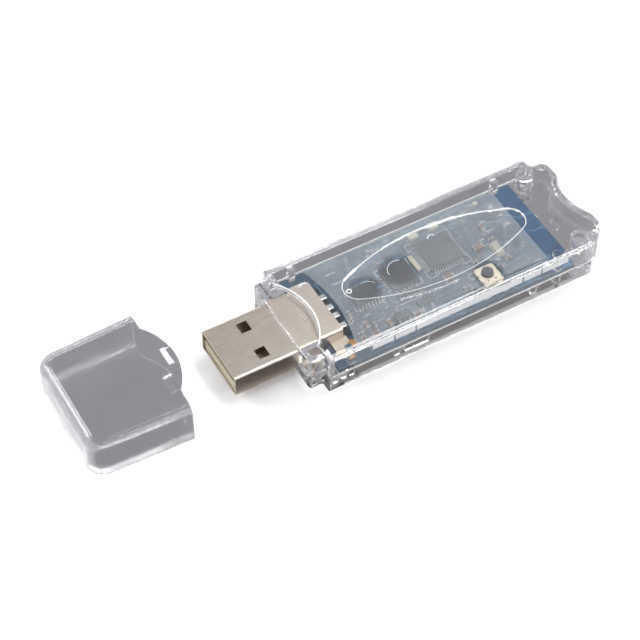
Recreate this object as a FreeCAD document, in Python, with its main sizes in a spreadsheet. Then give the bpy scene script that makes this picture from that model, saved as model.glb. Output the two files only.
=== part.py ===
import FreeCAD, Part
import math
import os
import re

import Sketcher

# A USB microcontroller programmer: a circuit board with a type A plug, shut in a clear
# two-part stick case, and a clear cap that lies off the plug.
#
# Frame: +X runs from the plug to the tail of the case, +Z is up, millimetres. The origin is
# the middle of the case's underside, which is the face that the stick rests on.

DIMS = {
    # case: stations along the stick
    "neck_front": -30.0,
    "body_front": -27.2,
    "body_rear": 26.3,
    "ear_rear": 29.4,
    "valley_rear": 27.75,
    # case: half widths
    "body_half": 11.65,
    "neck_half": 9.8,
    "ear_half": 9.5,
    "valley_half": 5.2,
    "tongue_half": 7.5,
    # case: heights
    "body_top": 8.6,
    "neck_top": 7.7,
    "neck_floor": 0.8,
    "split": 3.7,
    "seam": 0.03,
    "ceiling": 7.1,
    "neck_ceiling": 6.76,
    "case_floor": 1.0,
    # case: walls and roundings
    "wall": 1.2,
    "top_round": 1.1,
    "bottom_round": 0.7,
    "corner_round": 1.3,
    "ear_round": 2.2,
    "crest_round": 2.5,
    "neck_round": 0.6,
    "step_round": 0.3,
    "valley_radius": 9.0,
    "notch_round": 0.6,
    "tongue_radius": 11.65,
    "recess_radius": 11.7,
    # case: shallow oval sunk in the top, with a gate mark in it
    "oval_long": 18.25,
    "oval_short": 6.25,
    "oval_end": 3.0,
    "oval_depth": 0.3,
    "oval_slope": 45,
    "oval_middle": 0.35,
    "gate_middle": -16.8,
    "gate_ring": 0.5,
    "gate_hole": 0.28,
    "gate_rise": 0.12,
    # case: alignment bosses, board posts and the cap's catches
    "boss_long": 24.6,
    "boss_half": 8.6,
    "boss_radius": 1.6,
    "boss_bore": 1.0,
    "boss_depth": 2.6,
    "pin_radius": 0.93,
    "pin_top": 5.6,
    "post_wide": 1.1,
    "post_in": 9.3,
    "front_post": -22.6,
    "rear_post": 18.9,
    "second_ledge": -13.7,
    "long_ledge_front": -12.2,
    "long_ledge_rear": -7.4,
    "third_ledge": 14.0,
    "bar_front": 25.62,
    "bar_wide": 0.42,
    "bar_half": 1.2,
    "bar_rise": 0.5,
    "catch_middle": -26.0,
    "catch_long": 0.7,
    "catch_half": 1.45,
    "catch_rise": 0.22,
    # plug, to the usual type A sizes
    "plug_front": -41.9,
    "plug_rear": -21.4,
    "plug_half": 6.0,
    "plug_bottom": 2.2,
    "plug_top": 6.7,
    "plug_sheet": 0.3,
    "plug_gap": 0.06,
    "rib": 0.9,
    "plug_round": 0.45,
    "pip_long": -30.85,
    "pip_high": 4.1,
    "pip_radius": 0.32,
    "window_front": 5.55,
    "window_long": 1.95,
    "window_in": 2.05,
    "window_out": 4.25,
    "tongue_top": 4.4,
    "tongue_back": 0.35,
    "block_front": -30.0,
    "contact_back": 1.3,
    "contact_drop": -20.45,
    "contact_wide": 1.0,
    "contact_thick": 0.15,
    "contact_near": 1.0,
    "contact_far": 3.5,
    "tail_end": -19.4,
    "tab_front": -23.9,
    "tab_rear": -20.8,
    "tab_out": 8.1,
    # hazy film laid over the parts of the board, on top of the switch's button
    "film_front": -20.9,
    "film_rear": 17.6,
    "film_half": 9.1,
    "film_radius": 28.0,
    "film_thick": 0.1,
    # circuit board
    "board_front": -25.0,
    "board_rear": 22.3,
    "board_half": 10.3,
    "hair": 0.02,
    "board_bottom": 2.9,
    "board_top": 4.1,
    "board_slot": -20.95,
    "slot_half": 6.15,
    # chips, their leads and small metal
    "chip_lift": 0.1,
    "lead_thick": 0.13,
    "lead_bend": 0.3,
    "lead_reach": 0.8,
    "fine_pitch": 0.635,
    "fine_lead": 0.26,
    "close_pitch": 0.5,
    "close_lead": 0.22,
    "pad_reach": 0.35,
    "pad_high": 0.12,
    "usb_chip_long": -13.55,
    "usb_chip_wide": 0.3,
    "usb_chip_x": 4.9,
    "usb_chip_y": 3.9,
    "memory_long": -6.15,
    "memory_wide": 1.2,
    "memory_side": 5.2,
    "controller_long": 2.7,
    "controller_wide": 2.5,
    "controller_side": 6.6,
    "regulator_long": -10.35,
    "regulator_wide": -7.0,
    "diode_long": -5.4,
    "diode_wide": -6.2,
    "sot_long": 2.9,
    "sot_pitch": 0.95,
    "sot_lead": 0.4,
    "cap_metal": 0.25,
    "crystal_long": 12.0,
    "crystal_wide": -2.0,
    # push switch
    "switch_long": 6.9,
    "switch_wide": -6.6,
    "switch_half": 1.95,
    "switch_near": -8.95,
    "switch_far": -4.95,
    "base_top": 5.3,
    "cover_top": 5.45,
    "cover_hole": 1.13,
    "cover_clip": 0.3,
    "rivet_radius": 0.18,
    "rivet_aside": 0.73,
    "rivet_wide": -8.2,
    "notch_deep": 0.22,
    "cavity_radius": 1.4,
    "cavity_floor": 4.3,
    "dome_top": 4.65,
    "dome_ball": 3.1,
    "dome_sheet": 0.06,
    "foot_reach": 0.6,
    "foot_apart": 1.3,
    "button_radius": 1.05,
    "button_top": 5.95,
    "flange_radius": 1.28,
    "flange_bottom": 4.95,
    # cap, where it lies off the plug
    "cap_closed": -69.1,
    "cap_open": -51.2,
    "cap_half_open": 11.7,
    "cap_half_closed": 10.95,
    "cap_top": 8.5,
    "cap_skin": 0.7,
    "cap_end": 1.1,
    "cap_in_open": 10.6,
    "cap_in_closed": 9.95,
    "cap_corner": 3.2,
    "cap_edge": 2.0,
    "cap_inner_corner": 2.2,
    "cap_inner_edge": 1.0,
    "cap_aside": 2.7,
    "cap_foot": 0.35,
    "slot_middle": -49.9,
    "slot_long": 0.95,
    "catch_slot_half": 1.8,
}

doc = FreeCAD.newDocument("programmer")
sheet = doc.addObject("Spreadsheet::Sheet", "Dims")
for row, (alias, size) in enumerate(DIMS.items(), start=1):
    sheet.set(f"A{row}", alias)
    sheet.set(f"B{row}", str(size))
    sheet.setAlias(f"B{row}", alias)
doc.recompute()

sub_parts = []


# ---------------------------------------------------------------- helpers

def cells(text):
    """The same expression with every size pointed at its cell in the sheet."""
    return re.sub(r"[a-z]\w*", lambda word: f"Dims.{word[0]}" if word[0] in DIMS else word[0], str(text))


def number(text):
    """What an expression comes to now."""
    found = sheet.evalExpression(cells(text))
    return float(getattr(found, "Value", found))


def keep(item, label):
    """Name a finished piece; its label is the name of its file."""
    item.Label = label
    sub_parts.append(item)
    return item


def box(name, x, y, z):
    """A block between two expressions along each axis."""
    item = doc.addObject("Part::Box", name)
    for side, axis, (low, high) in zip(("Length", "Width", "Height"), "xyz", (x, y, z)):
        item.setExpression(side, cells(f"({high}) - ({low})"))
        item.setExpression(f"Placement.Base.{axis}", cells(low))
    return item


def block(name, middle, size, z):
    """A block about a middle point in plan, standing between two heights."""
    spans = [(f"({at}) - {length} / 2", f"({at}) + {length} / 2") for at, length in zip(middle, size)]
    return box(name, spans[0], spans[1], z)


def cylinder(name, radius, at, z):
    """An upright round between two heights."""
    item = doc.addObject("Part::Cylinder", name)
    item.setExpression("Radius", cells(radius))
    item.setExpression("Height", cells(f"({z[1]}) - ({z[0]})"))
    for axis, place in zip("xyz", (*at, z[0])):
        item.setExpression(f"Placement.Base.{axis}", cells(place))
    return item


def cut(name, base, tool):
    item = doc.addObject("Part::Cut", name)
    item.Base = base
    item.Tool = tool
    return item


def fuse(name, pieces):
    item = doc.addObject("Part::MultiFuse", name)
    item.Shapes = pieces
    return item


def group(name, pieces):
    """Separate solids of one kind in one node."""
    item = doc.addObject("Part::Compound", name)
    item.Links = pieces
    return item


def rounded(name, base, radius, choose):
    """Fillet the edges of a block that choose() picks."""
    doc.recompute()
    item = doc.addObject("Part::Fillet", name)
    item.Base = base
    size = number(radius)
    edges = enumerate(base.Shape.Edges, start=1)
    item.Edges = [(index, size, size) for index, edge in edges if choose(edge)]
    return item


def sketch_on(body, name, role, level):
    """A sketch on one of the body's own planes, moved off it to a level."""
    plane = next(item for item in body.Origin.OriginFeatures if item.Role == role)
    sketch = body.newObject("Sketcher::SketchObject", name)
    sketch.AttachmentSupport = [(plane, "")]
    sketch.MapMode = "FlatFace"
    sketch.setExpression("AttachmentOffset.Base.z", cells(level))
    return sketch


def pin(sketch, kind, name, refs, text):
    """Add one dimension to a sketch and tie it to the sheet."""
    index = sketch.addConstraint(Sketcher.Constraint(kind, *refs, number(text)))
    sketch.renameConstraint(index, name)
    sketch.setExpression(f"Constraints.{name}", cells(text))


def outline(sketch, corners):
    """A closed outline. A corner is (x, y), or (x, y, radius) where an arc leaves it.

    The arc bulges to the right of its direction of travel, or to the left when its radius
    is written with a leading minus.
    """
    spots = [FreeCAD.Vector(number(corner[0]), number(corner[1]), 0) for corner in corners]
    last = len(corners) - 1
    for index, corner in enumerate(corners):
        start = spots[index]
        end = spots[0 if index == last else index + 1]
        if len(corner) == 2:
            sketch.addGeometry(Part.LineSegment(start, end))
            continue
        radius = number(corner[2])
        chord = end - start
        rise = abs(radius) - math.sqrt(radius ** 2 - (chord.Length / 2) ** 2)
        aside = FreeCAD.Vector(chord.y, -chord.x, 0).normalize() * math.copysign(rise, radius)
        sketch.addGeometry(Part.Arc(start, (start + end) / 2 + aside, end))
    heads = []
    for index, corner in enumerate(corners):
        flipped = len(corner) == 3 and number(corner[2]) < 0
        heads.append((2, 1) if flipped else (1, 2))
    for index, corner in enumerate(corners):
        following = 0 if index == last else index + 1
        sketch.addConstraint(Sketcher.Constraint(
            "Coincident", index, heads[index][1], following, heads[following][0]))
        pin(sketch, "DistanceX", f"x{index}", (-1, 1, index, heads[index][0]), corner[0])
        pin(sketch, "DistanceY", f"y{index}", (-1, 1, index, heads[index][0]), corner[1])
        if len(corner) == 3:
            pin(sketch, "Radius", f"r{index}", (index,), f"abs({corner[2]})")


def rectangle(x, y):
    return [(x[0], y[0]), (x[1], y[0]), (x[1], y[1]), (x[0], y[1])]


def shape_of(body):
    doc.recompute()
    return body.Shape


def pad(body, name, level, corners, height, role="XY_Plane"):
    """Add an extruded outline, growing up from its level."""
    sketch = sketch_on(body, f"{name}_outline", role, level)
    outline(sketch, corners)
    item = body.newObject("PartDesign::Pad", name)
    item.Profile = sketch
    item.setExpression("Length", cells(height))
    doc.recompute()
    return item


def pocket(body, name, level, corners, depth, up=False, role="XY_Plane"):
    """Cut an extruded outline down from its level, or up from it."""
    before = shape_of(body).Volume
    sketch = sketch_on(body, f"{name}_outline", role, level)
    outline(sketch, corners)
    item = body.newObject("PartDesign::Pocket", name)
    item.Profile = sketch
    item.setExpression("Length", cells(depth))
    item.Reversed = up
    doc.recompute()
    if body.Shape.Volume >= before:
        raise RuntimeError(f"{body.Label}: {name} cuts nothing")
    return item


def soften(body, name, radius, choose):
    """Round the edges of the body's tip that choose() picks."""
    doc.recompute()
    tip = body.Tip
    edges = [f"Edge{index}" for index, edge in enumerate(tip.Shape.Edges, start=1) if choose(edge)]
    if not edges:
        raise RuntimeError(f"{body.Label}: {name} finds no edge")
    item = body.newObject("PartDesign::Fillet", name)
    item.Base = (tip, edges)
    item.setExpression("Radius", cells(radius))
    doc.recompute()
    return item


def upright(edge):
    """Whether an edge runs straight up."""
    if len(edge.Vertexes) != 2:
        return False
    run = edge.Vertexes[1].Point - edge.Vertexes[0].Point
    return abs(run.x) < 1e-6 and abs(run.y) < 1e-6


def stands_at(edge, x, y, slack=1e-3):
    """Whether an upright edge stands at x, and at y on either side of the stick."""
    return abs(edge.BoundBox.XMin - x) < slack and abs(abs(edge.BoundBox.YMin) - y) < slack


def lies_at(edge, axis, place, slack=1e-4):
    """Whether the whole edge lies in a plane across one axis."""
    low = getattr(edge.BoundBox, f"{axis.upper()}Min")
    high = getattr(edge.BoundBox, f"{axis.upper()}Max")
    return abs(low - place) < slack and abs(high - place) < slack


# ---------------------------------------------------------------- case

def case_plan():
    """Plan of the case: a long block whose tail is a wave between two ears."""
    return [
        ("body_front", "-body_half"),
        ("body_rear", "-body_half"),
        ("body_rear", "-ear_half"),
        ("ear_rear", "-ear_half"),
        ("ear_rear", "-valley_half", "-valley_radius"),
        ("ear_rear", "valley_half"),
        ("ear_rear", "ear_half"),
        ("body_rear", "ear_half"),
        ("body_rear", "body_half"),
        ("body_front", "body_half"),
    ]


def room_plan():
    """Plan of the room inside the case, one wall in from its outside."""
    return [
        ("body_front + wall", "-body_half + wall"),
        ("body_rear - wall", "-body_half + wall"),
        ("body_rear - wall", "-ear_half + wall"),
        ("ear_rear - wall", "-ear_half + wall"),
        ("ear_rear - wall", "-valley_half - 0.3", "-valley_radius"),
        ("ear_rear - wall", "valley_half + 0.3"),
        ("ear_rear - wall", "ear_half - wall"),
        ("body_rear - wall", "ear_half - wall"),
        ("body_rear - wall", "body_half - wall"),
        ("body_front + wall", "body_half - wall"),
    ]


def tongue_plan():
    """Plan of the step that takes the cap's tongue: straight sides and a round end."""
    return [
        ("neck_front - 1", "-body_half - 1"),
        ("body_front", "-body_half - 1"),
        ("body_front", "-tongue_half", "recess_radius"),
        ("body_front", "tongue_half"),
        ("body_front", "body_half + 1"),
        ("neck_front - 1", "body_half + 1"),
    ]


def round_pad(body, name, level, at, radius, height):
    """Add an upright round, growing up from its level."""
    item = body.newObject("PartDesign::Pad", name)
    item.Profile = circle_on(body, name, level, at, radius)
    item.setExpression("Length", cells(height))
    doc.recompute()
    return item


def round_pocket(body, name, level, at, radius, depth, up=False):
    """Cut a round hole down from its level, or up from it."""
    before = shape_of(body).Volume
    item = body.newObject("PartDesign::Pocket", name)
    item.Profile = circle_on(body, name, level, at, radius)
    item.setExpression("Length", cells(depth))
    item.Reversed = up
    doc.recompute()
    if body.Shape.Volume >= before:
        raise RuntimeError(f"{body.Label}: {name} cuts nothing")
    return item


def circle_on(body, name, level, at, radius):
    sketch = sketch_on(body, f"{name}_circle", "XY_Plane", level)
    middle = FreeCAD.Vector(number(at[0]), number(at[1]), 0)
    sketch.addGeometry(Part.Circle(middle, FreeCAD.Vector(0, 0, 1), number(radius)))
    pin(sketch, "DistanceX", "x", (-1, 1, 0, 3), at[0])
    pin(sketch, "DistanceY", "y", (-1, 1, 0, 3), at[1])
    pin(sketch, "Radius", "r", (0,), radius)
    return sketch


def case_block(body, bottom, top):
    """The outside of one half of the case, with its upright corners rounded."""
    pad(body, "outside", bottom, case_plan(), f"{top} - ({bottom})")
    tail = number("body_rear")
    corners = {
        "body_corners": ("corner_round", tail, number("body_half")),
        "notches": ("notch_round", tail, number("ear_half")),
        "ears": ("ear_round", number("ear_rear"), number("ear_half")),
        "crests": ("crest_round", number("ear_rear"), number("valley_half")),
    }
    for name, (radius, x, y) in corners.items():
        soften(body, name, radius, lambda edge: upright(edge) and stands_at(edge, x, y))


def neck_block(body, bottom, top):
    """The outside of one half of the neck, which the cap slides over."""
    pad(body, "neck", bottom, rectangle(("neck_front", "body_front + wall"), ("-neck_half", "neck_half")),
        f"{top} - ({bottom})")
    front = number("neck_front")
    soften(body, "neck_corners", "neck_round", lambda edge: (
        upright(edge) and abs(edge.BoundBox.XMin - front) < 1e-3))


def side_pairs():
    """The near side and the far side, as a name and a sign."""
    return (("near", "-"), ("far", ""))


def plug_slot_plan(past):
    """Plan of the slot that the plug stands in, from before the neck to just past the body's front."""
    long = ("neck_front - 1", f"body_front + {past}")
    return rectangle(long, ("-plug_half - plug_gap", "plug_half + plug_gap"))


def neck_room_plan(sign, past):
    """Plan of the hollow in the neck on one side of the plug."""
    inner, outer = f"{sign}(plug_half + rib)", f"{sign}(neck_half - wall)"
    ends = (outer, inner) if sign else (inner, outer)
    return rectangle(("neck_front + wall", f"body_front + {past}"), ends)


def oval_plan():
    """Plan of the oval: two tight arcs at its ends, and two wide ones that meet them smoothly."""
    reach = "(oval_long - oval_end)"
    side = f"(({reach} ^ 2 + oval_short ^ 2 - oval_end ^ 2) / (2 * (oval_short - oval_end)))"
    share = f"({side} / ({side} - oval_end))"
    x = f"{reach} * {share}"
    y = f"(oval_short - {side}) * (1 - {share})"
    return [
        (f"oval_middle + {x}", f"-({y})", "oval_end"),
        (f"oval_middle + {x}", y, side),
        (f"oval_middle - {x}", y, "oval_end"),
        (f"oval_middle - {x}", f"-({y})", side),
    ]


def build_upper_shell():
    body = doc.addObject("PartDesign::Body", "upper_shell")
    case_block(body, "split + seam", "body_top")
    top = number("body_top")
    front = number("body_front")
    soften(body, "top_edges", "top_round", lambda edge: (
        lies_at(edge, "z", top) and not lies_at(edge, "x", front)))
    neck_block(body, "split + seam", "neck_top")
    neck_top = number("neck_top")
    neck_half = number("neck_half")
    soften(body, "neck_edges", "neck_round / 2", lambda edge: (
        lies_at(edge, "z", neck_top) and edge.BoundBox.XMin < front - 1e-3))
    pocket(body, "tongue_step", "body_top", tongue_plan(), "body_top - neck_top")
    step_back = number("body_front + recess_radius / 3")
    soften(body, "step_edges", "step_round", lambda edge: (
        lies_at(edge, "z", top) and edge.BoundBox.XMax < step_back))
    pocket(body, "room", "split", room_plan(), "ceiling - split", up=True)
    pocket(body, "plug_slot", "split", plug_slot_plan("wall + 0.2"), "neck_ceiling - split", up=True)
    for side, sign in side_pairs():
        pocket(body, f"{side}_neck_room", "split", neck_room_plan(sign, "wall + 0.2"),
               "neck_ceiling - split", up=True)
    oval = pocket(body, "oval", "body_top", oval_plan(), "oval_depth")
    oval.setExpression("TaperAngle", cells("-oval_slope"))
    round_pad(body, "gate_mark", "body_top - oval_depth", ("gate_middle", "0"), "gate_ring", "gate_rise")
    round_pocket(body, "gate_dimple", "body_top - oval_depth + gate_rise", ("gate_middle", "0"), "gate_hole",
                 "gate_rise * 2")
    for side, sign in side_pairs():
        wall_ends = (f"{sign}(body_half - wall / 2)", f"{sign}post_in")
        ends = wall_ends if sign else wall_ends[::-1]
        for post in ("front_post", "rear_post"):
            pad(body, f"{side}_{post}", "board_top + hair",
                rectangle((f"{post} - post_wide / 2", f"{post} + post_wide / 2"), ends),
                "ceiling - board_top - hair")
        round_pad(body, f"{side}_boss", "split + seam", ("boss_long", f"{sign}boss_half"), "boss_radius",
                  "ceiling - split - seam")
        round_pocket(body, f"{side}_boss_bore", "split", ("boss_long", f"{sign}boss_half"), "boss_bore",
                     "boss_depth", up=True)
    pad(body, "catch", "neck_top",
        rectangle(("catch_middle - catch_long / 2", "catch_middle + catch_long / 2"),
                  ("-catch_half", "catch_half")), "catch_rise")
    return keep(body, "upper_shell")


def build_lower_shell():
    body = doc.addObject("PartDesign::Body", "lower_shell")
    case_block(body, "0", "split")
    front = number("body_front")
    soften(body, "bottom_edges", "bottom_round", lambda edge: (
        lies_at(edge, "z", 0) and not lies_at(edge, "x", front)))
    neck_block(body, "neck_floor", "split")
    pocket(body, "tongue_step", "0", tongue_plan(), "neck_floor", up=True)
    room = room_plan()
    for index in (0, -1):
        room[index] = ("body_front + wall * 3", room[index][1])
    pocket(body, "room", "split", room, "split - case_floor")
    seat_long = ("board_front - 0.2", "body_front + wall * 4")
    seat = rectangle(seat_long, ("-board_half - 0.1", "board_half + 0.1"))
    pocket(body, "board_seat", "split", seat, "split - board_bottom")
    pocket(body, "plug_slot", "split", plug_slot_plan("wall * 4"), "split - plug_bottom + 0.05")
    for side, sign in side_pairs():
        pocket(body, f"{side}_neck_room", "split", neck_room_plan(sign, "wall"), "split - neck_floor - wall")
        wall_ends = (f"{sign}(body_half - wall / 2)", f"{sign}post_in")
        ends = wall_ends if sign else wall_ends[::-1]
        ledges = {
            "front_ledge": ("front_post - post_wide / 2", "front_post + post_wide / 2"),
            "second_ledge": ("second_ledge - post_wide / 2", "second_ledge + post_wide / 2"),
            "long_ledge": ("long_ledge_front", "long_ledge_rear"),
            "third_ledge": ("third_ledge - post_wide / 2", "third_ledge + post_wide / 2"),
            "rear_ledge": ("rear_post - post_wide / 2", "rear_post + post_wide / 2"),
        }
        for name, span in ledges.items():
            height = "board_bottom - hair - case_floor"
            pad(body, f"{side}_{name}", "case_floor", rectangle(span, ends), height)
        round_pad(body, f"{side}_boss", "case_floor", ("boss_long", f"{sign}boss_half"), "boss_radius",
                  "split - case_floor")
        round_pad(body, f"{side}_pin", "split", ("boss_long", f"{sign}boss_half"), "pin_radius",
                  "pin_top - split")
    bar = rectangle(("bar_front", "bar_front + bar_wide"), ("-bar_half", "bar_half"))
    pad(body, "tail_bar", "case_floor", bar, "bar_rise")
    pad(body, "catch", "neck_floor - catch_rise",
        rectangle(("catch_middle - catch_long / 2", "catch_middle + catch_long / 2"),
                  ("-catch_half", "catch_half")), "catch_rise")
    return keep(body, "lower_shell")


# ---------------------------------------------------------------- cap

def in_hollow(edge):
    """Whether an edge lies in the cap's hollow, clear of its mouth."""
    span = edge.BoundBox
    skin = number("cap_skin")
    within = span.ZMin > skin - 1e-3 and span.ZMax < number("cap_top") - skin + 1e-3
    return within and span.XMin < number("cap_open") - 1e-3


def build_cap():
    body = doc.addObject("PartDesign::Body", "cap")
    plan = [
        ("cap_closed", "-cap_half_closed"),
        ("cap_open", "-cap_half_open"),
        ("cap_open", "-tongue_half", "tongue_radius"),
        ("cap_open", "tongue_half"),
        ("cap_open", "cap_half_open"),
        ("cap_closed", "cap_half_closed"),
    ]
    pad(body, "outside", "0", plan, "cap_top")
    end = number("cap_closed")
    inner_end = number("cap_closed + cap_end")
    mouth = number("cap_open")
    top = number("cap_top")
    hollow = [
        ("cap_closed + cap_end", "-cap_in_closed"),
        ("cap_open + 5", "-cap_in_open"),
        ("cap_open + 5", "cap_in_open"),
        ("cap_closed + cap_end", "cap_in_closed"),
    ]
    pocket(body, "hollow", "cap_skin", hollow, "cap_top - cap_skin * 2", up=True)
    soften(body, "hollow_corners", "cap_inner_corner", lambda edge: (
        upright(edge) and abs(edge.BoundBox.XMin - inner_end) < 1e-3))
    soften(body, "hollow_edges", "cap_inner_edge", lambda edge: (
        in_hollow(edge) and edge.BoundBox.ZLength < 1e-6 and not lies_at(edge, "x", mouth)))
    soften(body, "end_corners", "cap_corner", lambda edge: (
        upright(edge) and abs(edge.BoundBox.XMin - end) < 1e-3))
    soften(body, "top_edges", "cap_edge", lambda edge: (
        lies_at(edge, "z", top) and edge.BoundBox.XMin < mouth - 1e-3))
    soften(body, "foot_edges", "cap_foot", lambda edge: (
        lies_at(edge, "z", 0) and edge.BoundBox.XMin < mouth - 1e-3))
    slot = rectangle(("slot_middle - slot_long / 2", "slot_middle + slot_long / 2"),
                     ("-catch_slot_half", "catch_slot_half"))
    pocket(body, "top_slot", "cap_top", slot, "cap_skin * 1.5")
    pocket(body, "bottom_slot", "0", slot, "cap_skin * 1.5", up=True)
    lead_in = rectangle(("slot_middle", "cap_open + 4"), ("-catch_slot_half", "catch_slot_half"))
    pocket(body, "top_lead_in", "cap_top - cap_skin", lead_in, "cap_skin * 0.55", up=True)
    pocket(body, "bottom_lead_in", "cap_skin", lead_in, "cap_skin * 0.55")
    body.setExpression("Placement.Base.y", cells("cap_aside"))
    return keep(body, "cap")


def build_film():
    body = doc.addObject("PartDesign::Body", "cover_film")
    plan = [
        ("film_front", "-film_half"),
        ("film_rear", "-film_half"),
        ("film_rear", "film_half"),
        ("film_front", "film_half", "-film_radius"),
    ]
    pad(body, "film_sheet", "button_top + hair", plan, "film_thick")
    return keep(body, "cover_film")


# ---------------------------------------------------------------- plug

def along_x(edge):
    """Whether an edge runs straight along the stick."""
    span = edge.BoundBox
    return span.XLength > 1e-3 and span.YLength < 1e-6 and span.ZLength < 1e-6


def both_sides(name, x, inner, outer, z):
    """The same block on the near side and on the far side of the stick."""
    near = box(f"{name}_near", x, (f"-({outer})", f"-({inner})"), z)
    far = box(f"{name}_far", x, (inner, outer), z)
    return [near, far]


def build_plug():
    width = ("-plug_half", "plug_half")
    length = ("plug_front", "plug_rear")
    blank = box("plug_blank", length, width, ("plug_bottom", "plug_top"))
    sleeve = rounded("plug_sleeve", blank, "plug_round", along_x)
    inside = box("plug_inside", ("plug_front - 1", "plug_rear + 1"),
                 ("-plug_half + plug_sheet", "plug_half - plug_sheet"),
                 ("plug_bottom + plug_sheet", "plug_top - plug_sheet"))
    start = "plug_front + window_front"
    windows = both_sides("plug_window", (start, f"{start} + window_long"), "window_in", "window_out",
                         ("plug_bottom - 1", "plug_top + 1"))
    pip = doc.addObject("Part::Cylinder", "plug_pip")
    pip.setExpression("Radius", cells("pip_radius"))
    pip.setExpression("Height", cells("plug_half * 2 + 2"))
    pip.setExpression("Placement.Base.x", cells("pip_long"))
    pip.setExpression("Placement.Base.y", cells("plug_half + 1"))
    pip.setExpression("Placement.Base.z", cells("pip_high"))
    pip.setExpression("Placement.Rotation.Angle", "90")
    pip.setExpression("Placement.Rotation.Axis.x", "1")
    pip.setExpression("Placement.Rotation.Axis.z", "0")
    tube = cut("plug_tube", sleeve, fuse("plug_openings", [inside, pip, *windows]))
    tabs = both_sides("plug_tab", ("tab_front", "tab_rear"), "plug_half - plug_sheet", "tab_out",
                      ("board_top + hair", "board_top + hair + plug_sheet"))
    keep(fuse("plug_sheet_metal", [tube, *tabs]), "plug_shell")

    strips = []
    slots = []
    over = "tongue_top + contact_thick"
    for place in ("-contact_far", "-contact_near", "contact_near", "contact_far"):
        side = (f"{place} - contact_wide / 2", f"{place} + contact_wide / 2")
        slots.append(box("contact_slot", ("block_front - 1", "plug_rear + 1"), side, ("tongue_top", over)))
        strips.append(fuse("contact", [
            box("contact_blade", ("plug_front + contact_back", "contact_drop"), side, ("tongue_top", over)),
            box("contact_riser", ("contact_drop - contact_thick", "contact_drop"), side,
                ("board_top + hair", over)),
            box("contact_foot", ("contact_drop - contact_thick", "tail_end"), side,
                ("board_top + hair", "board_top + hair + contact_thick")),
        ]))
    keep(group("plug_contact_set", strips), "plug_contacts")
    room = ("-plug_half + plug_sheet", "plug_half - plug_sheet")
    tongue = box("tongue_plate", ("plug_front + tongue_back", "block_front"),
                 ("-plug_half + plug_sheet + hair", "plug_half - plug_sheet - hair"),
                 ("plug_bottom + plug_sheet", "tongue_top"))
    heel = box("tongue_block", ("block_front", "plug_rear - contact_thick"), room,
               ("plug_bottom + plug_sheet", "plug_top - plug_sheet"))
    whole = fuse("tongue_whole", [tongue, heel])
    keep(cut("tongue_slotted", whole, fuse("contact_slots", slots)), "plug_tongue")


# ---------------------------------------------------------------- circuit board and what is on it

def build_board():
    blank = box("board_blank", ("board_front", "board_rear"), ("-board_half", "board_half"),
                ("board_bottom", "board_top"))
    slot = box("board_slot_cut", ("board_front - 1", "board_slot"), ("-slot_half", "slot_half"),
               ("board_bottom - 1", "board_top + 1"))
    keep(cut("board_cut", blank, slot), "circuit_board")


def chip_body(name, middle, size, height, lift="chip_lift"):
    """The moulded body of a chip, clear of the board by its lift."""
    return block(name, middle, size, (f"board_top + {lift}", f"board_top + {lift} + {height}"))


def turned(name, axis, along, across, z):
    """A block given along and across one axis of the board."""
    return box(name, along, across, z) if axis == "x" else box(name, across, along, z)


def leads(name, axis, middle, half, shoulder, places):
    """Bent leads on two facing sides of a chip.

    They point both ways along one axis, from the body's half length. places holds where
    each one stands across that axis and which ways it points.
    """
    centre, beside = middle if axis == "x" else middle[::-1]
    low = "board_top + hair"
    found = []
    for place, wide, ways in places:
        across = (f"({beside}) + ({place}) - {wide} / 2", f"({beside}) + ({place}) + {wide} / 2")
        for way in ways:
            def reach(inner, outer):
                near = f"({centre}) {way} ({half} + {inner})"
                far = f"({centre}) {way} ({half} + {outer})"
                return (near, far) if way == "+" else (far, near)
            found.append(fuse(name, [
                turned("lead_shoulder", axis, reach("0", "lead_bend"), across,
                       (f"board_top + {shoulder}", f"board_top + {shoulder} + lead_thick")),
                turned("lead_riser", axis, reach("lead_bend - lead_thick", "lead_bend"), across,
                       (low, f"board_top + {shoulder} + lead_thick")),
                turned("lead_foot", axis, reach("lead_bend - lead_thick", "lead_reach"), across,
                       (low, f"{low} + lead_thick")),
            ]))
    return found


def even_places(count, pitch, wide, ways="-+"):
    """Equal leads in a row about the middle of a side."""
    return [(f"{index - (count - 1) / 2} * {pitch}", wide, ways) for index in range(count)]


def build_interface_chip():
    middle = ("usb_chip_long", "usb_chip_wide")
    keep(chip_body("usb_chip_body", middle, ("usb_chip_x", "usb_chip_y"), "1.0"), "usb_interface_chip")
    places = even_places(8, "fine_pitch", "fine_lead")
    pins = leads("usb_chip_lead", "y", middle, "usb_chip_y / 2", "0.5", places)
    keep(group("usb_chip_lead_set", pins), "usb_interface_leads")


def build_memory_chip():
    middle = ("memory_long", "memory_wide")
    half = "memory_side / 2"
    keep(chip_body("memory_body", middle, ("memory_side", "memory_side"), "0.85", "hair * 2"), "memory_chip")
    pads = []
    for index in range(6):
        step = f"{index - 2.5} * fine_pitch * 1.15"
        for way in "-+":
            for axis in "xy":
                centre, beside = middle if axis == "x" else middle[::-1]
                near = f"{centre} {way} ({half} + hair)"
                far = f"{centre} {way} ({half} + pad_reach)"
                along = (near, far) if way == "+" else (far, near)
                across = (f"{beside} + {step} - fine_lead / 2", f"{beside} + {step} + fine_lead / 2")
                height = ("board_top + hair", "board_top + pad_high")
                pads.append(turned("memory_pad", axis, along, across, height))
    keep(group("memory_pad_set", pads), "memory_pads")


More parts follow.
